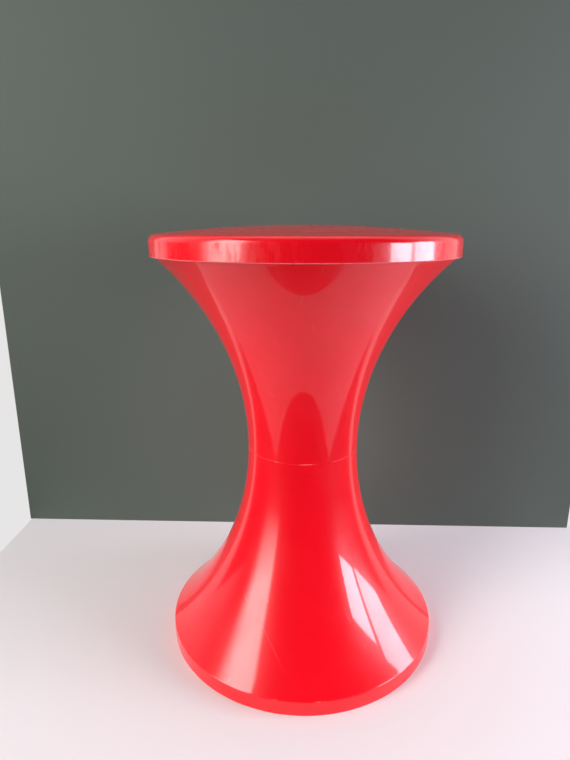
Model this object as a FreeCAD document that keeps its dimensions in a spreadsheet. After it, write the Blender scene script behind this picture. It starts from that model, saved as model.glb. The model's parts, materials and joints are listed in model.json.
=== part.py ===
# Plastic drum stool: two identical trumpet shells that lock at the waist with a twist,
# and a domed seat lid that drops over the upper rim.
# Millimetres, +Z up, origin at the middle of the ring that the stool stands on.
import FreeCAD
import Part
import Sketcher
import math
import os

doc = FreeCAD.newDocument("drum_stool")

# Driving sizes, one cell each
SIZES = {
    # Whole stool: the lower half ends at half_height, and the upper half takes what the seat leaves
    "total_height": 450.0,
    "half_height": 218.5,
    # Trumpet shell
    "rim_radius": 148.5,
    "waist_radius": 59.5,
    "band_height": 16.0,
    "shell_wall": 3.5,
    "floor_thickness": 4.0,
    "rim_chamfer": 0.9,
    "crease_round": 1.2,
    "seam_chamfer": 0.4,
    # Twist lock in the waist floor: hooks, their undercuts and the windows they enter
    "hook_count": 3,
    "hook_inner_radius": 37.0,
    "hook_width": 11.0,
    "stem_angle": 12.0,
    "lip_angle": 18.0,
    "lip_thickness": 4.0,
    "land_angle": 6.0,
    "twist_play": 1.0,
    "hook_play": 0.3,
    # Seat lid
    "lid_play": 0.5,
    "skirt_wall": 3.0,
    "skirt_depth": 16.0,
    "plate_thickness": 3.0,
    "dome_rise": 9.0,
    "seat_edge": 4.0,
    "edge_round": 6.5,
    "skirt_chamfer": 0.8,
    # Lid's underside: ring inside the rim, middle ring, hub ring and spokes
    "ring_play": 0.8,
    "rib_thickness": 2.2,
    "rib_drop": 4.0,
    "middle_ring_radius": 72.0,
    "hub_radius": 14.0,
    "spoke_count": 12,
}

sheet = doc.addObject("Spreadsheet::Sheet", "Sizes")
for row, (alias, number) in enumerate(SIZES.items(), start=1):
    sheet.set(f"A{row}", alias)
    sheet.set(f"B{row}", str(number))
    sheet.setAlias(f"B{row}", alias)
doc.recompute()

X_AXIS = FreeCAD.Vector(1, 0, 0)
Z_AXIS = FreeCAD.Vector(0, 0, 1)
FULL_TURN = 360
HALF_TURN = 180
START, END, CENTRE = range(1, 4)
ORIGIN_POINT = (-1, 1)
HORIZONTAL_AXIS, VERTICAL_AXIS = -1, -2
NEAR = 0.001


def size(formula):
    """Number that a formula of the sheet's sizes gives."""
    return float(sheet.evalExpression(formula))


# Sketching helpers
def origin_feature(body, role):
    for feature in body.Origin.OriginFeatures:
        if feature.Role == role:
            return feature
    raise RuntimeError(f"{body.Label} has no {role}")


def new_sketch(body, name, role, height=None):
    """Sketch on one of the body's origin planes, raised by a formula if one is given."""
    sketch = body.newObject("Sketcher::SketchObject", name)
    sketch.AttachmentSupport = (origin_feature(body, role), [""])
    sketch.MapMode = "FlatFace"
    if height:
        sketch.setExpression("AttachmentOffset.Base.z", height)
    return sketch


def drive(sketch, constraint, formula):
    """Add a dimension and bind it to a formula of the sheet's sizes."""
    index = sketch.addConstraint(constraint)
    sketch.setExpression(f"Constraints[{index}]", formula)


def place_point(sketch, edge, point, across, up):
    """Hold a point of the sketch at two formulas, or on an axis where one is 0."""
    if across == "0":
        sketch.addConstraint(Sketcher.Constraint("PointOnObject", edge, point, VERTICAL_AXIS))
    else:
        distance = Sketcher.Constraint("DistanceX", *ORIGIN_POINT, edge, point, size(across))
        drive(sketch, distance, across)
    if up == "0":
        sketch.addConstraint(Sketcher.Constraint("PointOnObject", edge, point, HORIZONTAL_AXIS))
    else:
        distance = Sketcher.Constraint("DistanceY", *ORIGIN_POINT, edge, point, size(up))
        drive(sketch, distance, up)


def arc_between(start, end, centre):
    """The shorter arc from start to end about centre, and whether it runs backwards."""
    radius = (start - centre).Length
    from_angle = math.atan2(start.y - centre.y, start.x - centre.x)
    to_angle = math.atan2(end.y - centre.y, end.x - centre.x)
    backwards = math.sin(to_angle - from_angle) < 0
    if backwards:
        from_angle, to_angle = to_angle, from_angle
    circle = Part.Circle(centre, Z_AXIS, radius)
    return Part.ArcOfCircle(circle, from_angle, to_angle), backwards


def draw_outline(sketch, corners):
    """Closed outline through corners (across, up), where a third item is the centre of an arc to the next."""
    points = [FreeCAD.Vector(size(across), size(up), 0) for across, up, *_ in corners]
    followings = points[1:] + points[:1]
    ends = []
    for (_, _, *centres), point, following in zip(corners, points, followings):
        edge = sketch.addGeometry(Part.LineSegment(point, following)) if not centres else None
        backwards = False
        for across, up in centres:
            centre = FreeCAD.Vector(size(across), size(up), 0)
            arc, backwards = arc_between(point, following, centre)
            edge = sketch.addGeometry(arc)
        ends.append((edge, END, START) if backwards else (edge, START, END))
    for (across, up, *_), (edge, first, last), following in zip(corners, ends, ends[1:] + ends[:1]):
        next_edge, next_first, _ = following
        sketch.addConstraint(Sketcher.Constraint("Coincident", edge, last, next_edge, next_first))
        place_point(sketch, edge, first, across, up)
    for (_, _, *centres), (edge, _, _) in zip(corners, ends):
        for across, up in centres:
            if across == "0":
                sketch.addConstraint(Sketcher.Constraint("PointOnObject", edge, CENTRE, VERTICAL_AXIS))
            else:
                distance = Sketcher.Constraint("DistanceY", *ORIGIN_POINT, edge, CENTRE, size(up))
                drive(sketch, distance, up)


def draw_sector(sketch, inner_radius, outer_radius, from_angle, to_angle):
    """Closed piece of a ring about the origin, between two radii and two angles in degrees."""
    first = math.radians(size(from_angle))
    last = math.radians(size(to_angle))
    middle = FreeCAD.Vector(0, 0, 0)
    arcs = []
    for radius in (inner_radius, outer_radius):
        circle = Part.Circle(middle, Z_AXIS, size(radius))
        arc = sketch.addGeometry(Part.ArcOfCircle(circle, first, last))
        sketch.addConstraint(Sketcher.Constraint("Coincident", arc, CENTRE, *ORIGIN_POINT))
        drive(sketch, Sketcher.Constraint("Radius", arc, size(radius)), radius)
        arcs.append(arc)
    inner, outer = arcs
    for angle, end in ((from_angle, START), (to_angle, END)):
        turn = math.radians(size(angle))
        along = FreeCAD.Vector(math.cos(turn), math.sin(turn), 0)
        side = Part.LineSegment(along * size(inner_radius), along * size(outer_radius))
        line = sketch.addGeometry(side)
        sketch.addConstraint(Sketcher.Constraint("Coincident", line, START, inner, end))
        sketch.addConstraint(Sketcher.Constraint("Coincident", line, END, outer, end))
        sketch.addConstraint(Sketcher.Constraint("PointOnObject", *ORIGIN_POINT, line))
        drive(sketch, Sketcher.Constraint("Angle", line, turn), angle)


# Feature helpers
def revolve(body, name, sketch):
    feature = body.newObject("PartDesign::Revolution", name)
    feature.Profile = sketch
    feature.ReferenceAxis = (sketch, ["V_Axis"])
    feature.Angle = FULL_TURN
    doc.recompute()
    return feature


def repeat_round(body, name, feature, count):
    """Copies of a feature, evenly spaced about the upright axis."""
    pattern = body.newObject("PartDesign::PolarPattern", name)
    pattern.Originals = [feature]
    pattern.Axis = (origin_feature(body, "Z_Axis"), [""])
    pattern.Angle = FULL_TURN
    pattern.setExpression("Occurrences", count)
    body.Tip = pattern
    doc.recompute()
    return pattern


def cut_upwards(body, name, sketch, height):
    """Pocket from a sketch on the ground plane up to a height, which has to remove material."""
    before = body.Shape.Volume
    pocket = body.newObject("PartDesign::Pocket", name)
    pocket.Profile = sketch
    pocket.Reversed = True
    pocket.setExpression("Length", height)
    doc.recompute()
    if pocket.Shape.Volume >= before - NEAR:
        raise RuntimeError(f"{name} cuts nothing")
    return pocket


def round_edges(body, name, base, circles, radius):
    """Fillet on the circular edges that lie at the given (radius, height) formulas."""
    wanted = [(size(across), size(up)) for across, up in circles]
    edges = []
    for number, edge in enumerate(base.Shape.Edges, start=1):
        if edge.Degenerated or not isinstance(edge.Curve, Part.Circle):
            continue
        here = (edge.Curve.Radius, edge.Curve.Center.z)
        for across, up in wanted:
            if abs(here[0] - across) < NEAR and abs(here[1] - up) < NEAR:
                edges.append(f"Edge{number}")
    if len(edges) != len(wanted):
        raise RuntimeError(f"{name} found {len(edges)} edges, not {len(wanted)}")
    fillet = body.newObject("PartDesign::Fillet", name)
    fillet.Base = (base, edges)
    fillet.setExpression("Radius", radius)
    doc.recompute()
    return fillet


# Heights that the pieces share
RIM_TOP = "(Sizes.total_height - Sizes.dome_rise - Sizes.seat_edge)"
UPPER_HALF_HEIGHT = f"({RIM_TOP} - Sizes.half_height)"

# Trumpet shell
FLARE_OUT = "(Sizes.rim_radius - Sizes.waist_radius)"
RIM_INSIDE = "(Sizes.rim_radius - Sizes.shell_wall)"

# Twist lock: each hook's stem starts at angle 0 and its lip points the way the angle grows.
# The other half is turned over about a level axis, so its hooks point back and sit between.
HOOK_OUTER = "(Sizes.hook_inner_radius + Sizes.hook_width)"
LIP_END = "(Sizes.stem_angle + Sizes.lip_angle)"
MATE_STEM_END = f"(2 * {LIP_END} + Sizes.land_angle)"
MATE_STEM_START = f"({MATE_STEM_END} - Sizes.stem_angle)"
UNDER_LIP = "(Sizes.floor_thickness + Sizes.hook_play)"


def make_half_shell(name, height):
    """One trumpet half, rim on the ground and waist floor at the top, with its hooks and windows."""
    body = doc.addObject("PartDesign::Body", name)

    # The flare is one arc, upright at the waist, that ends at the rim band
    flare_rise = f"({height} - Sizes.band_height)"
    flare_radius = f"(({FLARE_OUT}^2 + {flare_rise}^2) / (2 * {FLARE_OUT}))"
    flare_middle = f"(Sizes.waist_radius + {flare_radius})"
    inside_flare = f"({flare_radius} + Sizes.shell_wall)"
    floor_inside = f"({height} - Sizes.floor_thickness)"
    floor_edge_radius = f"({flare_middle} - sqrt({inside_flare}^2 - Sizes.floor_thickness^2))"
    seam_foot_radius = f"({flare_middle} - sqrt({flare_radius}^2 - Sizes.seam_chamfer^2))"
    band_inside_top = f"({height} - sqrt({inside_flare}^2 - ({flare_middle} - {RIM_INSIDE})^2))"
    flare_centre = (flare_middle, height)
    corners = [
        (RIM_INSIDE, "Sizes.rim_chamfer"),
        (f"{RIM_INSIDE} + Sizes.rim_chamfer", "0"),
        ("Sizes.rim_radius - Sizes.rim_chamfer", "0"),
        ("Sizes.rim_radius", "Sizes.rim_chamfer"),
        ("Sizes.rim_radius", "Sizes.band_height", flare_centre),
        (seam_foot_radius, f"{height} - Sizes.seam_chamfer"),
        ("Sizes.waist_radius - Sizes.seam_chamfer", height),
        ("0", height),
        ("0", floor_inside),
        (floor_edge_radius, floor_inside, flare_centre),
        (RIM_INSIDE, band_inside_top),
    ]
    wall = new_sketch(body, f"{name}_wall_profile", "XZ_Plane")
    draw_outline(wall, corners)
    shell = revolve(body, f"{name}_wall", wall)
    crease = [("Sizes.rim_radius", "Sizes.band_height")]
    round_edges(body, f"{name}_crease_round", shell, crease, "Sizes.crease_round")

    hook_plan = new_sketch(body, f"{name}_hook_plan", "XY_Plane", height)
    draw_sector(hook_plan, "Sizes.hook_inner_radius", HOOK_OUTER, "0", LIP_END)
    hook = body.newObject("PartDesign::Pad", f"{name}_hook")
    hook.Profile = hook_plan
    hook.setExpression("Length", f"{UNDER_LIP} + Sizes.lip_thickness")
    doc.recompute()
    repeat_round(body, f"{name}_hooks", hook, "Sizes.hook_count")

    # One core of the mould forms the hole in the floor and the space under the lip
    undercut_plan = new_sketch(body, f"{name}_undercut_plan", "XY_Plane")
    undercut_inner = "Sizes.hook_inner_radius - Sizes.hook_play"
    undercut_outer = f"{HOOK_OUTER} + Sizes.hook_play"
    draw_sector(undercut_plan, undercut_inner, undercut_outer, "Sizes.stem_angle", LIP_END)
    undercut_height = f"{height} + {UNDER_LIP}"
    undercut = cut_upwards(body, f"{name}_undercut", undercut_plan, undercut_height)
    repeat_round(body, f"{name}_undercuts", undercut, "Sizes.hook_count")

    # The window takes the other half's stem and lip, and lets the stem turn by the lip's angle
    window_plan = new_sketch(body, f"{name}_window_plan", "XY_Plane")
    window_start = f"{MATE_STEM_START} - Sizes.twist_play"
    window_end = f"{MATE_STEM_END} + Sizes.lip_angle + Sizes.twist_play"
    draw_sector(window_plan, undercut_inner, undercut_outer, window_start, window_end)
    window = cut_upwards(body, f"{name}_window", window_plan, height)
    repeat_round(body, f"{name}_windows", window, "Sizes.hook_count")
    return body


lower_shell = make_half_shell("lower_shell", "Sizes.half_height")

upper_shell = make_half_shell("upper_shell", UPPER_HALF_HEIGHT)
turn_over_angle = size(MATE_STEM_END) / 2
turn_over_axis = FreeCAD.Rotation(Z_AXIS, turn_over_angle).multVec(X_AXIS)
upper_shell.Placement.Rotation = FreeCAD.Rotation(turn_over_axis, HALF_TURN)
upper_shell.setExpression("Placement.Base.z", RIM_TOP)

# Seat lid: a shallow dome with a skirt outside the rim and a locating ring inside it
SKIRT_INSIDE = "(Sizes.rim_radius + Sizes.lid_play)"
LID_RADIUS = f"({SKIRT_INSIDE} + Sizes.skirt_wall)"
SKIRT_FOOT = f"({RIM_TOP} - Sizes.skirt_depth)"
RIB_FOOT = f"({RIM_TOP} - Sizes.rib_drop)"
DOME_RADIUS = f"(({LID_RADIUS}^2 + Sizes.dome_rise^2) / (2 * Sizes.dome_rise))"
DOME_CENTRE = f"(Sizes.total_height - {DOME_RADIUS})"
DOME_INSIDE = f"({DOME_RADIUS} - Sizes.plate_thickness)"
ROUND_RADIUS = f"({LID_RADIUS} - Sizes.edge_round)"
ROUND_REACH = f"({DOME_RADIUS} - Sizes.edge_round)"
ROUND_RISE = f"sqrt({ROUND_REACH}^2 - {ROUND_RADIUS}^2)"
ROUND_CENTRE = f"({DOME_CENTRE} + {ROUND_RISE})"
DOME_EDGE_RADIUS = f"({DOME_RADIUS} * {ROUND_RADIUS} / {ROUND_REACH})"
DOME_EDGE = f"({DOME_CENTRE} + {DOME_RADIUS} * {ROUND_RISE} / {ROUND_REACH})"
RING_OUTSIDE = f"({RIM_INSIDE} - Sizes.ring_play)"
RING_INSIDE = f"({RING_OUTSIDE} - Sizes.rib_thickness)"


def plate_height(radius, depth):
    """Height at a radius of the dome's surface, offset inwards by a depth."""
    return f"({DOME_CENTRE} + sqrt(({DOME_RADIUS} - {depth})^2 - ({radius})^2))"


def make_seat_lid(name):
    body = doc.addObject("PartDesign::Body", name)

    plate = new_sketch(body, f"{name}_profile", "XZ_Plane")
    dome_centre = ("0", DOME_CENTRE)
    middle_ring = "Sizes.middle_ring_radius"
    corners = [
        (SKIRT_INSIDE, f"{SKIRT_FOOT} + Sizes.skirt_chamfer"),
        (f"{SKIRT_INSIDE} + Sizes.skirt_chamfer", SKIRT_FOOT),
        (f"{LID_RADIUS} - Sizes.skirt_chamfer", SKIRT_FOOT),
        (LID_RADIUS, f"{SKIRT_FOOT} + Sizes.skirt_chamfer"),
        (LID_RADIUS, ROUND_CENTRE, (ROUND_RADIUS, ROUND_CENTRE)),
        (DOME_EDGE_RADIUS, DOME_EDGE, dome_centre),
        ("0", "Sizes.total_height"),
        ("0", "Sizes.total_height - Sizes.plate_thickness"),
        (middle_ring, plate_height(middle_ring, "Sizes.plate_thickness")),
        (RING_INSIDE, plate_height(RING_INSIDE, "Sizes.plate_thickness")),
        (RING_INSIDE, RIB_FOOT),
        (RING_OUTSIDE, RIB_FOOT),
        (RING_OUTSIDE, RIM_TOP),
        (SKIRT_INSIDE, RIM_TOP),
    ]
    draw_outline(plate, corners)
    revolve(body, f"{name}_cap", plate)

    # Rings and spokes rise to the middle of the plate's thickness
    half_plate = "Sizes.plate_thickness / 2"
    for ring, middle in (("hub", "Sizes.hub_radius"), ("middle", middle_ring)):
        inside = f"({middle} - Sizes.rib_thickness / 2)"
        outside = f"({middle} + Sizes.rib_thickness / 2)"
        ring_profile = new_sketch(body, f"{name}_{ring}_ring_profile", "XZ_Plane")
        ring_corners = [
            (inside, RIB_FOOT),
            (outside, RIB_FOOT),
            (outside, plate_height(outside, half_plate)),
            (inside, plate_height(inside, half_plate)),
        ]
        draw_outline(ring_profile, ring_corners)
        revolve(body, f"{name}_{ring}_ring", ring_profile)

    spoke_profile = new_sketch(body, f"{name}_spoke_profile", "XZ_Plane")
    ring_middle = f"({RING_OUTSIDE} - Sizes.rib_thickness / 2)"
    spoke_corners = [
        ("Sizes.hub_radius", RIB_FOOT),
        (ring_middle, RIB_FOOT),
        (ring_middle, plate_height(ring_middle, half_plate), dome_centre),
        ("Sizes.hub_radius", plate_height("Sizes.hub_radius", half_plate)),
    ]
    draw_outline(spoke_profile, spoke_corners)
    spoke = body.newObject("PartDesign::Pad", f"{name}_spoke")
    spoke.Profile = spoke_profile
    spoke.Midplane = True
    spoke.setExpression("Length", "Sizes.rib_thickness")
    doc.recompute()
    repeat_round(body, f"{name}_spokes", spoke, "Sizes.spoke_count")
    return body


seat_lid = make_seat_lid("seat_lid")
doc.recompute()

# Every feature has to be sound before anything is written
for item in doc.Objects:
    if "Invalid" in item.State or "Error" in item.State:
        raise RuntimeError(f"{item.Label} failed: {item.State}")

os.makedirs("parts", exist_ok=True)
for body in (lower_shell, upper_shell, seat_lid):
    solid = body.Shape
    if solid.isNull() or not solid.isValid() or len(solid.Solids) != 1:
        raise RuntimeError(f"{body.Label} is not one sound solid")
    solid.exportStep(f"parts/{body.Label}.step")
    print(body.Label, "volume", round(solid.Volume), "box", solid.optimalBoundingBox(False))
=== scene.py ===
import json
import math

import bpy
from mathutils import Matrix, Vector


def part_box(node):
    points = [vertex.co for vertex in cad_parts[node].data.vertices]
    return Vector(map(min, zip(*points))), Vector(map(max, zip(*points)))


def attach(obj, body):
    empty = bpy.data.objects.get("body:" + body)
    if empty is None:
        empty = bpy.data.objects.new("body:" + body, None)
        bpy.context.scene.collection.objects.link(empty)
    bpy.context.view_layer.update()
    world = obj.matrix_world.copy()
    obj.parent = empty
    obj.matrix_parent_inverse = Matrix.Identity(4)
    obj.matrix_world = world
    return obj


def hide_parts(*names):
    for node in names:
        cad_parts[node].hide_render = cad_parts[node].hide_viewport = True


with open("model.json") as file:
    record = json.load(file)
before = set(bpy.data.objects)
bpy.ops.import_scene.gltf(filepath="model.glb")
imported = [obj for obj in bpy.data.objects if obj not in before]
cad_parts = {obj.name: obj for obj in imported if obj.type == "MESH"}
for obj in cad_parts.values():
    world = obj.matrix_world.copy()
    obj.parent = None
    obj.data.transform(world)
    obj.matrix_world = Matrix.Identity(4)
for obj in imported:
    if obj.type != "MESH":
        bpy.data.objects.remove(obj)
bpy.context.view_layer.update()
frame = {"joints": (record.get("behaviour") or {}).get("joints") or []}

# Lower half-shell
# A trumpet-shaped injection moulding in glossy red polypropylene, 3.5 mm thick, standing on its wide rim.
# A floor closes its narrow end, and three hooks and three windows in that floor make the twist lock.
MM = 0.001
UPRIGHT = (0.0, 0.0, 1.0)
MIDDLE = (0.0, 0.0, 0.0)
FULL_TURN = 2 * math.pi
TURN_STEPS = 240
FLARE_STEPS = 48
RIM_SEGMENTS = 4
CREASE_SEGMENTS = 5
SMOOTH_ANGLE = math.radians(34)

shell_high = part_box("lower_shell")[1]
rim_radius = shell_high.x
hook_tip = shell_high.z
waist_height = frame["joints"][0]["pos_m"][2]
waist_radius = 59.5 * MM
band_height = 16 * MM
shell_wall = 3.5 * MM
floor_thickness = 4 * MM
rim_round = 0.9 * MM
crease_round = 2.4 * MM
seam_chamfer = 0.4 * MM

flare_out = rim_radius - waist_radius
flare_rise = waist_height - band_height
flare_radius = (flare_out ** 2 + flare_rise ** 2) / (2 * flare_out)
flare_centre = waist_radius + flare_radius
inside_flare = flare_radius + shell_wall
rim_inside = rim_radius - shell_wall


def arc_points(centre, radius, start, end, steps):
    """Points (across, up) along an arc in the upright plane, from one angle to another, ends included."""
    points = []
    for step in range(steps + 1):
        angle = start + (end - start) * step / steps
        points.append((centre[0] + radius * math.cos(angle), centre[1] + radius * math.sin(angle)))
    return points


def draw_outline(name, points):
    """New object in edit mode holding a chain of edges through the points, drawn in the upright plane."""
    bpy.ops.object.select_all(action="DESELECT")
    bpy.ops.mesh.primitive_plane_add(size=MM, location=MIDDLE)
    piece = bpy.context.object
    piece.name = name
    piece.data.name = name
    bpy.ops.object.mode_set(mode="EDIT")
    bpy.ops.mesh.select_all(action="SELECT")
    bpy.ops.mesh.merge(type="CENTER")
    here = (0.0, 0.0)
    for number, point in enumerate(points):
        step = (point[0] - here[0], 0.0, point[1] - here[1])
        if number == 0:
            bpy.ops.transform.translate(value=step)
        else:
            bpy.ops.mesh.extrude_vertices_move(TRANSFORM_OT_translate={"value": step})
        here = point
    return piece


def round_corners(piece, corners, offset, segments):
    """Bevel the outline's vertices that lie at the corners (across, up)."""
    near = 0.02 * MM
    bpy.ops.mesh.select_all(action="DESELECT")
    bpy.ops.object.mode_set(mode="OBJECT")
    for vertex in piece.data.vertices:
        for across, up in corners:
            if abs(vertex.co.x - across) < near and abs(vertex.co.z - up) < near:
                vertex.select = True
    bpy.ops.object.mode_set(mode="EDIT")
    bpy.ops.mesh.bevel(offset=offset, segments=segments, affect="VERTICES")


def turn_outline():
    """Spin the outline about the upright axis, close the seam and the poles, and leave edit mode."""
    weld = 0.002 * MM
    bpy.ops.mesh.select_all(action="SELECT")
    bpy.ops.mesh.spin(steps=TURN_STEPS, angle=FULL_TURN, center=MIDDLE, axis=UPRIGHT)
    bpy.ops.mesh.select_all(action="SELECT")
    bpy.ops.mesh.remove_doubles(threshold=weld)
    bpy.ops.mesh.normals_make_consistent(inside=False)
    bpy.ops.object.mode_set(mode="OBJECT")


def repeat_round(copies):
    """Repeat the drawn block evenly round the upright axis and leave edit mode."""
    others = copies - 1
    angle = FULL_TURN * others / copies
    bpy.ops.mesh.select_all(action="SELECT")
    bpy.ops.mesh.spin(steps=others, angle=angle, center=MIDDLE, axis=UPRIGHT, dupli=True)
    bpy.ops.mesh.select_all(action="SELECT")
    bpy.ops.mesh.normals_make_consistent(inside=False)
    bpy.ops.object.mode_set(mode="OBJECT")


def ring_sector(name, radii, heights, angles, copies):
    """Block between two radii, two heights and two angles, with copies evenly round the axis."""
    sector_steps = 16
    inner, outer = radii
    low, high = heights
    start, end = angles
    block = draw_outline(name, [(inner, low), (outer, low), (outer, high), (inner, high)])
    bpy.ops.mesh.select_all(action="SELECT")
    bpy.ops.mesh.edge_face_add()
    bpy.ops.transform.rotate(value=-start, orient_axis="Z", center_override=MIDDLE)
    bpy.ops.mesh.spin(steps=sector_steps, angle=start - end, center=MIDDLE, axis=UPRIGHT)
    repeat_round(copies)
    return block


def combine(piece, tool, operation):
    """Apply a boolean of the tool to the piece and delete the tool."""
    bpy.ops.object.select_all(action="DESELECT")
    bpy.context.view_layer.objects.active = piece
    piece.select_set(True)
    bpy.ops.object.modifier_add(type="BOOLEAN")
    boolean = piece.modifiers[-1]
    boolean.operation = operation
    boolean.solver = "MANIFOLD"
    boolean.object = tool
    bpy.ops.object.modifier_apply(modifier=boolean.name)
    bpy.data.objects.remove(tool)


def finish_surface(piece):
    """Smooth shading that keeps sharp edges, with the flat faces' normals left flat."""
    bpy.ops.object.select_all(action="DESELECT")
    bpy.context.view_layer.objects.active = piece
    piece.select_set(True)
    bpy.ops.object.shade_smooth_by_angle(angle=SMOOTH_ANGLE)
    bpy.ops.object.modifier_add(type="WEIGHTED_NORMAL")
    weighted = piece.modifiers[-1]
    weighted.keep_sharp = True
    bpy.ops.object.modifier_apply(modifier=weighted.name)


flare_middle = (flare_centre, waist_height)
flare_end = math.pi + math.asin(flare_rise / flare_radius)
seam_angle = math.pi + math.asin(seam_chamfer / flare_radius)
floor_angle = math.pi + math.asin(floor_thickness / inside_flare)
inside_end = math.pi + math.acos((flare_centre - rim_inside) / inside_flare)
floor_inside = waist_height - floor_thickness

shell_outline = [(0.0, waist_height), (waist_radius - seam_chamfer, waist_height)]
shell_outline += arc_points(flare_middle, flare_radius, seam_angle, flare_end, FLARE_STEPS)
shell_outline += [(rim_radius, 0.0), (rim_inside, 0.0)]
shell_outline += arc_points(flare_middle, inside_flare, inside_end, floor_angle, FLARE_STEPS)
shell_outline += [(0.0, floor_inside)]
rim_corners = [(rim_radius, 0.0), (rim_inside, 0.0)]
crease_corner = [(rim_radius, band_height)]
crease_offset = crease_round * math.tan((flare_end - math.pi) / 2)

# Twist lock: stems start at angle 0, lips point the way the angle grows, and the windows lie beyond
hook_count = 3
hook_inner = 37 * MM
hook_outer = 48 * MM
hook_play = 0.3 * MM
sunk = 2 * MM
hook_radii = (hook_inner, hook_outer)
hook_heights = (waist_height - sunk, hook_tip)
hook_angles = (0.0, math.radians(30))
cut_radii = (hook_inner - hook_play, hook_outer + hook_play)
undercut_heights = (floor_inside - sunk, waist_height + floor_thickness + hook_play)
undercut_angles = (math.radians(12), math.radians(30.4))
window_heights = (floor_inside - sunk, waist_height + sunk)
window_angles = (math.radians(53), math.radians(85))


def mould_half(name):
    """Half-shell standing on its rim: a turned trumpet with its hooks added and its openings cut."""
    shell = draw_outline(name, shell_outline)
    round_corners(shell, rim_corners, rim_round, RIM_SEGMENTS)
    round_corners(shell, crease_corner, crease_offset, CREASE_SEGMENTS)
    turn_outline()
    hooks = ring_sector("hooks", hook_radii, hook_heights, hook_angles, hook_count)
    combine(shell, hooks, "UNION")
    undercuts = ring_sector("undercuts", cut_radii, undercut_heights, undercut_angles, hook_count)
    combine(shell, undercuts, "DIFFERENCE")
    windows = ring_sector("windows", cut_radii, window_heights, window_angles, hook_count)
    combine(shell, windows, "DIFFERENCE")
    finish_surface(shell)
    return shell


lower_shell = mould_half("red_lower_shell")


def new_group(name, inputs, outputs):
    """Empty shader node group with float inputs {name: value} and float outputs."""
    group = bpy.data.node_groups.new(name, "ShaderNodeTree")
    for label, value in inputs.items():
        socket = group.interface.new_socket(label, in_out="INPUT", socket_type="NodeSocketFloat")
        socket.default_value = value
    for label in outputs:
        group.interface.new_socket(label, in_out="OUTPUT", socket_type="NodeSocketFloat")
    return group


def add_node(tree, kind, **settings):
    """New node of a kind with its own settings."""
    node = tree.nodes.new(kind)
    for key, value in settings.items():
        setattr(node, key, value)
    return node


def set_or_link(tree, socket, value):
    """Link a socket to another, or give it a plain value."""
    if isinstance(value, bpy.types.NodeSocket):
        tree.links.new(value, socket)
    else:
        socket.default_value = value


def feed(tree, node, **values):
    """Set or link a node's inputs by their names, with an underscore for each space."""
    for label, value in values.items():
        set_or_link(tree, node.inputs[label.replace("_", " ")], value)
    return node


def calculate(tree, operation, first, second=0.0):
    """Result of an operation on two values."""
    node = add_node(tree, "ShaderNodeMath", operation=operation)
    set_or_link(tree, node.inputs[0], first)
    set_or_link(tree, node.inputs[1], second)
    return node.outputs[0]


RISING = (0.0, 1.0)
FALLING = (1.0, 0.0)


def ramp(tree, value, span, ends=RISING):
    """Smooth step of a value across a span, from one end value to the other."""
    node = add_node(tree, "ShaderNodeMapRange", interpolation_type="SMOOTHSTEP")
    feed(tree, node, Value=value, From_Min=span[0], From_Max=span[1], To_Min=ends[0], To_Max=ends[1])
    return node.outputs["Result"]


def noise(tree, vector, grain):
    """Cloudy mask whose grain is (patches per metre, levels of detail, strength of the detail)."""
    per_metre, detail, strength = grain
    node = add_node(tree, "ShaderNodeTexNoise")
    feed(tree, node, Vector=vector, Scale=per_metre, Detail=detail, Roughness=strength)
    return node.outputs["Fac"]


def object_place(tree):
    """The piece's own coordinates."""
    return add_node(tree, "ShaderNodeTexCoord").outputs["Object"]


# Moulded skin: slow waves where the wall shrank, the faint peel of the polished mould and fine dust on it
wave_grain = (22.0, 2.0, 0.5)
wave_height_mm = 0.02
peel_grain = (900.0, 2.0, 0.5)
peel_height_mm = 0.0003
tone_grain = (30.0, 4.0, 0.6)
dust_grain = (420.0, 4.0, 0.7)
dust_shows = (0.42, 0.72)
skin_heights = {"Wave": wave_height_mm, "Peel": peel_height_mm}
moulded_skin = new_group("moulded_skin", skin_heights, ["Height", "Tone", "Dust"])
place = object_place(moulded_skin)
skin_in = add_node(moulded_skin, "NodeGroupInput").outputs
skin_out = add_node(moulded_skin, "NodeGroupOutput")
waves = calculate(moulded_skin, "MULTIPLY", noise(moulded_skin, place, wave_grain), skin_in["Wave"])
peel = calculate(moulded_skin, "MULTIPLY", noise(moulded_skin, place, peel_grain), skin_in["Peel"])
feed(moulded_skin, skin_out, Height=calculate(moulded_skin, "ADD", waves, peel))
feed(moulded_skin, skin_out, Tone=noise(moulded_skin, place, tone_grain))
feed(moulded_skin, skin_out, Dust=ramp(moulded_skin, noise(moulded_skin, place, dust_grain), dust_shows))

# Handling marks: hairline scratches that each lie their own way, dull smudges, pale nicks and rubbed patches
usual_amount = 0.3
scratches_per_metre = 34.0
hairline_half_width = (0.06 * MM, 0.18 * MM)
hairline_half_length = (1.5 * MM, 4.5 * MM)
smudge_grain = (16.0, 3.0, 0.5)
smudge_shows = (0.45, 0.7)
nicks_per_metre = 55.0
nick_reach = (0.02, 0.045)
rub_stretch = (1.0, 1.0, 0.3)
rub_grain = (180.0, 5.0, 0.6)
rub_shows = (0.45, 0.68)
patch_grain = (28.0, 3.0, 0.5)
patch_shows = (0.38, 0.62)
mark_kinds = ["Scratches", "Smudges", "Nicks", "Rubs"]
handling_marks = new_group("handling_marks", {"Amount": usual_amount}, mark_kinds)
place = object_place(handling_marks)
amount = add_node(handling_marks, "NodeGroupInput").outputs["Amount"]
marks_out = add_node(handling_marks, "NodeGroupOutput")

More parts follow.
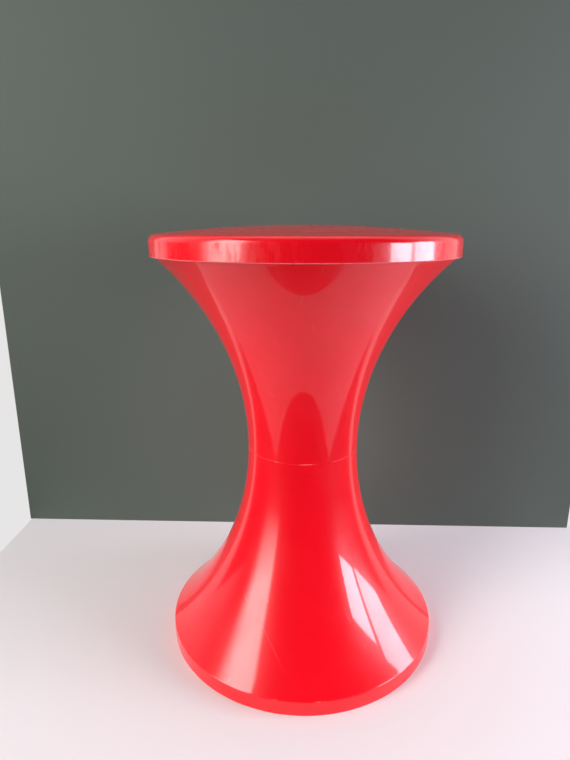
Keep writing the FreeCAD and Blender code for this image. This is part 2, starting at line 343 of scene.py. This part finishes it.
cells = add_node(handling_marks, "ShaderNodeTexVoronoi")
feed(handling_marks, cells, Vector=place, Scale=scratches_per_metre)
from_cell = add_node(handling_marks, "ShaderNodeVectorMath", operation="SUBTRACT")
handling_marks.links.new(place, from_cell.inputs[0])
handling_marks.links.new(cells.outputs["Position"], from_cell.inputs[1])
own_way = add_node(handling_marks, "ShaderNodeVectorMath", operation="SCALE")
handling_marks.links.new(cells.outputs["Color"], own_way.inputs[0])
own_way.inputs["Scale"].default_value = FULL_TURN
turned = add_node(handling_marks, "ShaderNodeVectorRotate", rotation_type="EULER_XYZ")
feed(handling_marks, turned, Vector=from_cell.outputs["Vector"], Rotation=own_way.outputs["Vector"])
in_cell = add_node(handling_marks, "ShaderNodeSeparateXYZ")
feed(handling_marks, in_cell, Vector=turned.outputs["Vector"])
chance = add_node(handling_marks, "ShaderNodeSeparateColor")
feed(handling_marks, chance, Color=cells.outputs["Color"])
off_line = calculate(handling_marks, "ABSOLUTE", in_cell.outputs["X"])
along_line = calculate(handling_marks, "ABSOLUTE", in_cell.outputs["Y"])
hairline = ramp(handling_marks, off_line, hairline_half_width, FALLING)
hairline_ends = ramp(handling_marks, along_line, hairline_half_length, FALLING)
hairline = calculate(handling_marks, "MULTIPLY", hairline, hairline_ends)
scratched = calculate(handling_marks, "LESS_THAN", chance.outputs["Red"], amount)
feed(handling_marks, marks_out, Scratches=calculate(handling_marks, "MULTIPLY", hairline, scratched))

smudges = ramp(handling_marks, noise(handling_marks, place, smudge_grain), smudge_shows)
feed(handling_marks, marks_out, Smudges=smudges)

pits = add_node(handling_marks, "ShaderNodeTexVoronoi")
feed(handling_marks, pits, Vector=place, Scale=nicks_per_metre)
pit = ramp(handling_marks, pits.outputs["Distance"], nick_reach, FALLING)
pit_chance = add_node(handling_marks, "ShaderNodeSeparateColor")
feed(handling_marks, pit_chance, Color=pits.outputs["Color"])
nicked = calculate(handling_marks, "LESS_THAN", pit_chance.outputs["Green"], amount)
feed(handling_marks, marks_out, Nicks=calculate(handling_marks, "MULTIPLY", pit, nicked))

stretched = add_node(handling_marks, "ShaderNodeMapping")
feed(handling_marks, stretched, Vector=place, Scale=rub_stretch)
rubs = ramp(handling_marks, noise(handling_marks, stretched.outputs["Vector"], rub_grain), rub_shows)
patches = ramp(handling_marks, noise(handling_marks, place, patch_grain), patch_shows)
feed(handling_marks, marks_out, Rubs=calculate(handling_marks, "MULTIPLY", rubs, patches))

# Edge wear and glint: a broken pale line along a level edge at a height. It is rubbing at worn edges, and a
# painted highlight where it stands for a glint
edge_line_grain = (48.0, 6.0, 0.65)
edge_line_reach = (0.35, 1.0)
edge_line_breaks = (0.85, 1.05)
usual_edge_line = {"Edge Height": 0.0, "Width": 0.6 * MM, "Cover": 0.5}
worn_edge = new_group("worn_edge", usual_edge_line, ["Wear"])
place = object_place(worn_edge)
edge_in = add_node(worn_edge, "NodeGroupInput").outputs
edge_out = add_node(worn_edge, "NodeGroupOutput")
level = add_node(worn_edge, "ShaderNodeSeparateXYZ")
feed(worn_edge, level, Vector=place)
away = calculate(worn_edge, "SUBTRACT", level.outputs["Z"], edge_in["Edge Height"])
away = calculate(worn_edge, "DIVIDE", calculate(worn_edge, "ABSOLUTE", away), edge_in["Width"])
near_edge = ramp(worn_edge, away, edge_line_reach, FALLING)
rubbed = calculate(worn_edge, "ADD", noise(worn_edge, place, edge_line_grain), edge_in["Cover"])
rubbed = ramp(worn_edge, rubbed, edge_line_breaks)
feed(worn_edge, edge_out, Wear=calculate(worn_edge, "MULTIPLY", near_edge, rubbed))


def use_group(tree, group, **values):
    """Outputs of a node group placed in a material with its own values."""
    node = add_node(tree, "ShaderNodeGroup", node_tree=group)
    return feed(tree, node, **values).outputs


def tint(tree, base, over, mask):
    """Base colour with another laid over it by a mask."""
    under_socket = 6
    over_socket = 7
    colour_result = 2
    node = add_node(tree, "ShaderNodeMix", data_type="RGBA")
    tree.links.new(mask, node.inputs["Factor"])
    set_or_link(tree, node.inputs[under_socket], base)
    set_or_link(tree, node.inputs[over_socket], over)
    return node.outputs[colour_result]


def red_plastic(name, look, edge_wears_and_glints):
    """Glossy red polypropylene with its marks. Edge wears and glints are (height, width, cover) of pale edge
    lines: rubbing, or a painted highlight.
    """
    plastic_ior = 1.49
    coat_ior = 1.5
    tone_shows = (0.35, 0.75)
    tone_share = (0.0, 0.5)
    rub_fade = 3 * MM
    material = bpy.data.materials.new(name)
    material.use_nodes = True
    tree = material.node_tree
    shader = tree.nodes["Principled BSDF"]
    skin = use_group(tree, moulded_skin)
    handled = use_group(tree, handling_marks, Amount=look["marks"])

    colour = tint(tree, look["red"], look["deep"], ramp(tree, skin["Tone"], tone_shows, tone_share))
    pale_marks_and_glint = calculate(tree, "MULTIPLY", handled["Scratches"], look["scratch_pale"])
    # Pale edge lines: each is rubbing, or a painted highlight where it is passed in for a glint, as along
    # the shell's crease
    for height, width, cover in edge_wears_and_glints:
        worn = use_group(tree, worn_edge, Edge_Height=height, Width=width, Cover=cover)["Wear"]
        pale_marks_and_glint = calculate(tree, "MAXIMUM", pale_marks_and_glint, worn)
    nicks = calculate(tree, "MULTIPLY", handled["Nicks"], look["nick_pale"])
    pale_marks_and_glint = calculate(tree, "MAXIMUM", pale_marks_and_glint, nicks)
    # Pale marks: scratches, nicks and rubbed edges, together with any painted highlight among the edge lines
    colour = tint(tree, colour, look["scuffed"], pale_marks_and_glint)

    level = add_node(tree, "ShaderNodeSeparateXYZ")
    feed(tree, level, Vector=object_place(tree))
    rub_span = (look["rubbed_below"], look["rubbed_below"] + rub_fade)
    rubbing = ramp(tree, level.outputs["Z"], rub_span, (look["rubbing"], 0.0))
    dull = calculate(tree, "MULTIPLY", handled["Rubs"], rubbing)
    dulling = {"smudging": handled["Smudges"], "dusting": skin["Dust"], "scuffing": pale_marks_and_glint}
    for strength, mark in dulling.items():
        dull = calculate(tree, "ADD", dull, calculate(tree, "MULTIPLY", mark, look[strength]))
    gloss = calculate(tree, "ADD", dull, look["roughness"])
    lost_coat = calculate(tree, "MULTIPLY", dull, look["coat_loss"])
    clear = calculate(tree, "SUBTRACT", look["coat"], lost_coat)

    scratch_depth = calculate(tree, "MULTIPLY", handled["Scratches"], look["scratch_depth_mm"])
    height = calculate(tree, "SUBTRACT", skin["Height"], scratch_depth)
    bump = add_node(tree, "ShaderNodeBump")
    feed(tree, bump, Strength=1.0, Distance=MM, Height=height)
    feed(tree, shader, Base_Color=colour, Roughness=gloss, Coat_Weight=clear)
    feed(tree, shader, Normal=bump.outputs["Normal"], IOR=plastic_ior, Specular_IOR_Level=look["specular"])
    feed(tree, shader, Coat_IOR=coat_ior, Coat_Roughness=look["coat_roughness"])
    return material


shell_look = {
    "red": (0.83, 0.003, 0.013, 1.0),
    "deep": (0.76, 0.002, 0.010, 1.0),
    "scuffed": (0.90, 0.24, 0.24, 1.0),
    "roughness": 0.28,
    "specular": 0.26,
    "coat": 0.64,
    "coat_roughness": 0.035,
    "coat_loss": 1.4,
    "marks": 0.17,
    "scratch_pale": 0.5,
    "scratch_depth_mm": 0.01,
    "nick_pale": 0.8,
    "smudging": 0.06,
    "dusting": 0.02,
    "scuffing": 0.3,
    "rubbing": 0.04,
    "rubbed_below": 1.0,
}
seam_wear = (waist_height, 0.45 * MM, 0.42)
foot_wear = (0.0, 1.6 * MM, 0.40)
# Painted highlight: a broken pale line along the crease between flare and band, standing in for the crease's
# glint
crease_painted_glint = (band_height, 0.6 * MM, 0.32)
shell_red = red_plastic("shell_red", shell_look, [seam_wear, foot_wear, crease_painted_glint])
lower_shell.data.materials.clear()
lower_shell.data.materials.append(shell_red)
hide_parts("lower_shell")
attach(lower_shell, "lower_half")

# Upper half-shell
# The same red polypropylene moulding turned over, so that its funnel opens upwards for storage.
# Its hooks drop through the lower floor's windows and slide under that floor with a short twist.
turned_over = math.pi
hook_stagger = math.radians(66)
rim_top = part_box("upper_shell")[1].z
upper_shell = mould_half("red_upper_shell")
upper_shell.rotation_euler = (turned_over, 0.0, hook_stagger)
upper_shell.location = (0.0, 0.0, rim_top)
bpy.ops.object.transform_apply(location=True, rotation=True, scale=True)
upper_shell.data.materials.clear()
upper_shell.data.materials.append(shell_red)
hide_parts("upper_shell")
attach(upper_shell, "upper_half")

# Seat lid
# A domed red polypropylene disc with a skirt that drops loosely over the upper rim.
# Under it a ring sits inside the rim, and two smaller rings and twelve spokes stiffen the plate.
DOME_STEPS = 40
SHOULDER_STEPS = 8
SKIRT_SEGMENTS = 4
BLADE_STEPS = 16

lid_low, lid_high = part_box("seat_lid")
lid_radius = lid_high.x
lid_top = lid_high.z
skirt_foot = lid_low.z
skirt_wall = 3 * MM
skirt_inside = lid_radius - skirt_wall
skirt_round = 0.8 * MM
plate_thickness = 3 * MM
dome_rise = 9 * MM
edge_round = 6.5 * MM
rib_drop = 4 * MM
rib_foot = rim_top - rib_drop
rib_thickness = 2.2 * MM
ring_play = 0.8 * MM
ring_outside = rim_inside - ring_play
ring_inside = ring_outside - rib_thickness
middle_ring = 72 * MM
hub_ring = 14 * MM
spoke_count = 12
spoke_lift = 0.2 * MM

dome_radius = (lid_radius ** 2 + dome_rise ** 2) / (2 * dome_rise)
dome_centre = (0.0, lid_top - dome_radius)
round_across = lid_radius - edge_round
round_lean = math.acos(round_across / (dome_radius - edge_round))
round_up = dome_centre[1] + math.sqrt((dome_radius - edge_round) ** 2 - round_across ** 2)


def plate_height(across, depth):
    """Height of the dome's surface at a radius, sunk by a depth."""
    return dome_centre[1] + math.sqrt((dome_radius - depth) ** 2 - across ** 2)


def underside(across):
    """Height of the plate's underside, which runs straight between the rings."""
    stops = [0.0, middle_ring, ring_inside]
    for inner, outer in zip(stops, stops[1:]):
        if across <= outer:
            low = plate_height(inner, plate_thickness)
            high = plate_height(outer, plate_thickness)
            return low + (high - low) * (across - inner) / (outer - inner)


lid_outline = arc_points(dome_centre, dome_radius, math.pi / 2, round_lean, DOME_STEPS)
lid_outline += arc_points((round_across, round_up), edge_round, round_lean, 0.0, SHOULDER_STEPS)[1:]
lid_outline += [(lid_radius, skirt_foot), (skirt_inside, skirt_foot), (skirt_inside, rim_top)]
lid_outline += [(ring_outside, rim_top), (ring_outside, rib_foot), (ring_inside, rib_foot)]
lid_outline += [(ring_inside, underside(ring_inside))]
for ring in (middle_ring, hub_ring):
    ring_out = ring + rib_thickness / 2
    ring_in = ring - rib_thickness / 2
    lid_outline += [(ring_out, underside(ring_out)), (ring_out, rib_foot)]
    lid_outline += [(ring_in, rib_foot), (ring_in, underside(ring_in))]
lid_outline += [(0.0, underside(0.0))]
skirt_corners = [(lid_radius, skirt_foot), (skirt_inside, skirt_foot)]
seat_lid = draw_outline("red_seat_lid", lid_outline)
round_corners(seat_lid, skirt_corners, skirt_round, SKIRT_SEGMENTS)
turn_outline()

# Spokes: one blade under the plate, drawn from the side, given its thickness and repeated
spoke_out = ring_outside - rib_thickness / 2
spoke_foot = rib_foot + spoke_lift
blade_outline = []
for step in range(BLADE_STEPS + 1):
    across = hub_ring + (spoke_out - hub_ring) * step / BLADE_STEPS
    blade_outline.append((across, plate_height(across, plate_thickness / 2)))
blade_outline += [(spoke_out, spoke_foot), (hub_ring, spoke_foot)]
spokes = draw_outline("spokes", blade_outline)
bpy.ops.mesh.select_all(action="SELECT")
bpy.ops.mesh.edge_face_add()
bpy.ops.transform.translate(value=(0.0, -rib_thickness / 2, 0.0))
bpy.ops.mesh.extrude_region_move(TRANSFORM_OT_translate={"value": (0.0, rib_thickness, 0.0)})
repeat_round(spoke_count)
combine(seat_lid, spokes, "UNION")
finish_surface(seat_lid)

lid_look = dict(shell_look)
lid_look["red"] = (0.77, 0.003, 0.012, 1.0)
lid_look["deep"] = (0.70, 0.002, 0.009, 1.0)
lid_look["marks"] = 0.2
lid_look["roughness"] = 0.26
lid_look["specular"] = 0.32
lid_look["coat"] = 0.5
lid_look["coat_roughness"] = 0.08
lid_look["dusting"] = 0.0
lid_look["smudging"] = 0.025
lid_look["rubbing"] = 0.2
lid_look["coat_loss"] = 2.0
lid_look["rubbed_below"] = round_up
skirt_wear = (skirt_foot, 0.9 * MM, 0.62)
lid_red = red_plastic("lid_red", lid_look, [skirt_wear])
seat_lid.data.materials.clear()
seat_lid.data.materials.append(lid_red)
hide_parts("seat_lid")
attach(seat_lid, "lid")

# Stage
# A pale plinth top that the stool stands on and a plain board close behind it.
# Both are single sheets that can't be seen from behind, so the other views look through them.
# The plinth is open within the foot's ring, so that light from below reaches the hollow base.
plinth_half_width = 0.43
plinth_front = -0.32
plinth_white = (0.78, 0.78, 0.79, 1.0)
foot_opening = rim_inside - 1 * MM
board_place = 0.21
board_left = -0.432
board_right = 0.409
board_height = 1.0
board_grey = (0.075, 0.10, 0.085, 1.0)
no_opening = 0.0
lying = 0.0
standing = math.pi / 2


def stage_sheet(name, size, middle, lean):
    """Flat sheet of a size (across, along), placed by its middle and leaned by an angle about X."""
    bpy.ops.object.select_all(action="DESELECT")
    bpy.ops.mesh.primitive_plane_add(size=1.0, location=middle, rotation=(lean, 0.0, 0.0))
    sheet = bpy.context.object
    sheet.name = name
    sheet.scale = (size[0], size[1], 1.0)
    bpy.ops.object.transform_apply(location=True, rotation=True, scale=True)
    return sheet


def one_sided(name, colour, opening):
    """Matt paint that is clear from its back, and clear within a radius round the stool's axis."""
    matt = 0.7
    material = bpy.data.materials.new(name)
    material.use_nodes = True
    tree = material.node_tree
    paint = tree.nodes["Principled BSDF"]
    feed(tree, paint, Base_Color=colour, Roughness=matt)
    clear = add_node(tree, "ShaderNodeBsdfTransparent")
    facing = add_node(tree, "ShaderNodeNewGeometry")
    from_axis = add_node(tree, "ShaderNodeVectorMath", operation="LENGTH")
    tree.links.new(object_place(tree), from_axis.inputs[0])
    open_part = calculate(tree, "LESS_THAN", from_axis.outputs["Value"], opening)
    choice = add_node(tree, "ShaderNodeMixShader")
    feed(tree, choice, Fac=calculate(tree, "MAXIMUM", facing.outputs["Backfacing"], open_part))
    tree.links.new(paint.outputs["BSDF"], choice.inputs[1])
    tree.links.new(clear.outputs["BSDF"], choice.inputs[2])
    tree.links.new(choice.outputs["Shader"], tree.nodes["Material Output"].inputs["Surface"])
    return material


plinth_size = (2 * plinth_half_width, board_place - plinth_front)
plinth_middle = (0.0, (board_place + plinth_front) / 2, 0.0)
plinth = stage_sheet("plinth", plinth_size, plinth_middle, lying)
plinth.data.materials.append(one_sided("plinth_white", plinth_white, foot_opening))
board_size = (board_right - board_left, board_height)
board_middle = ((board_left + board_right) / 2, board_place, board_height / 2)
board = stage_sheet("board", board_size, board_middle, standing)
board.data.materials.append(one_sided("board_grey", board_grey, no_opening))
board.visible_shadow = False
board.visible_diffuse = False

# Light
# Two panes of a window on the right, a tall feathered panel on the left, a broad soft panel overhead
# and a small one under the plinth's opening.
# The room is pale behind and beside the stool, and dim in front of it.
DIM_ROOM = (0.03, 0.03, 0.032, 1.0)
LIT_ROOM = (0.56, 0.56, 0.57, 1.0)
GLOSS_ROOM = (1.0, 1.0, 1.0, 1.0)
SEEN_ROOM = (0.80, 0.79, 0.79, 1.0)
BESIDE = (-0.25, 0.2)
ABOVE = (0.0, 0.05)
BEHIND = (0.32, 0.42)
world = bpy.data.worlds.new("room")
bpy.context.scene.world = world
world.use_nodes = True
room = world.node_tree
towards = add_node(room, "ShaderNodeSeparateXYZ")
feed(room, towards, Vector=add_node(room, "ShaderNodeTexCoord").outputs["Generated"])
ray = add_node(room, "ShaderNodeLightPath").outputs
pale_room = tint(room, LIT_ROOM, GLOSS_ROOM, ray["Is Glossy Ray"])
beside = ramp(room, towards.outputs["Y"], BESIDE)
above = ramp(room, towards.outputs["Z"], ABOVE)
behind = ramp(room, towards.outputs["Y"], BEHIND)
pale_part = calculate(room, "MAXIMUM", calculate(room, "MULTIPLY", beside, above), behind)
whole_room = tint(room, DIM_ROOM, pale_room, pale_part)
whole_room = tint(room, whole_room, SEEN_ROOM, ray["Is Camera Ray"])
feed(room, room.nodes["Background"], Color=whole_room)


def soft_panel(name, middle, facing, size, power, colour, feather):
    """Rectangular lamp that faces a point and fades at its edges over shares of its width and height."""
    bpy.ops.object.select_all(action="DESELECT")
    bpy.ops.object.light_add(type="AREA", location=middle)
    lamp = bpy.context.object
    lamp.name = name
    lamp.visible_camera = False
    lamp.data.shape = "RECTANGLE"
    lamp.data.size = size[0]
    lamp.data.size_y = size[1]
    lamp.data.energy = power
    lamp.data.color = colour
    aim = [there - here for there, here in zip(facing, middle)]
    level = math.hypot(aim[0], aim[1])
    turn = math.atan2(aim[1], aim[0]) - math.pi / 2
    lamp.rotation_euler = (math.pi / 2 + math.atan2(aim[2], level), 0.0, turn)
    lamp.data.use_nodes = True
    tree = lamp.data.node_tree
    spot = add_node(tree, "ShaderNodeSeparateXYZ")
    feed(tree, spot, Vector=add_node(tree, "ShaderNodeNewGeometry").outputs["Parametric"])
    strength = 1.0
    for side, (start, end) in zip(("X", "Y"), feather):
        rise = ramp(tree, spot.outputs[side], (0.0, start))
        fall = ramp(tree, spot.outputs[side], (1.0 - end, 1.0), FALLING)
        strength = calculate(tree, "MULTIPLY", calculate(tree, "MULTIPLY", rise, fall), strength)
    feed(tree, tree.nodes["Emission"], Strength=strength)


SHARP = ((0.03, 0.03), (0.03, 0.08))
FEATHERED = ((0.3, 0.22), (0.3, 0.1))
SOFT_ALL_ROUND = ((0.3, 0.3), (0.3, 0.3))
WINDOW_LIGHT = (1.0, 0.93, 1.07)
WARM_LIGHT = (1.0, 0.95, 0.92)
WHITE_LIGHT = (1.0, 1.0, 1.0)
# Just off the axis, which gives the lamps above and below a direction to turn to
nearly_middle = (0.0, 0.0001, 0.0)
soft_panel(
    "right_pane_near", middle=(1.40, -0.665, 0.435), facing=(0.0, -0.665, 0.435),
    size=(0.49, 0.47), power=14.9, colour=WINDOW_LIGHT, feather=SHARP,
)
soft_panel(
    "right_pane_far", middle=(1.40, -0.12, 0.46), facing=(0.0, -0.12, 0.46),
    size=(0.48, 0.56), power=13.3, colour=WINDOW_LIGHT, feather=SHARP,
)
soft_panel(
    "left_panel", middle=(-1.40, -1.11, 0.92), facing=(0.0, -1.11, 0.92),
    size=(1.36, 2.16), power=105.0, colour=WARM_LIGHT, feather=FEATHERED,
)
soft_panel(
    "overhead_panel", middle=(0.0, 0.0, 2.0), facing=nearly_middle,
    size=(2.0, 2.0), power=6.0, colour=WHITE_LIGHT, feather=SOFT_ALL_ROUND,
)
soft_panel(
    "under_panel", middle=(0.0, 0.0, -1.0), facing=nearly_middle,
    size=(0.5, 0.5), power=6.0, colour=WHITE_LIGHT, feather=SOFT_ALL_ROUND,
)

# Camera
# Placed where the photograph was taken from, just under the seat's top, looking down and a little left.
# Its focal length is given in pixels of a picture 760 pixels high.
FOCAL_PIXELS = 557.0
PICTURE_HEIGHT = 760
camera_place = (0.0, -0.57442, 0.44709)
camera_pitch = math.radians(15.28)
camera_turn = math.radians(1.94)
near_limit = 0.01
bpy.ops.object.camera_add(location=camera_place, rotation=(math.pi / 2 - camera_pitch, 0.0, camera_turn))
camera = bpy.context.object
camera.data.lens = FOCAL_PIXELS * camera.data.sensor_width / PICTURE_HEIGHT
camera.data.clip_start = near_limit
bpy.context.scene.camera = camera
bpy.context.scene.view_settings.view_transform = "Standard"
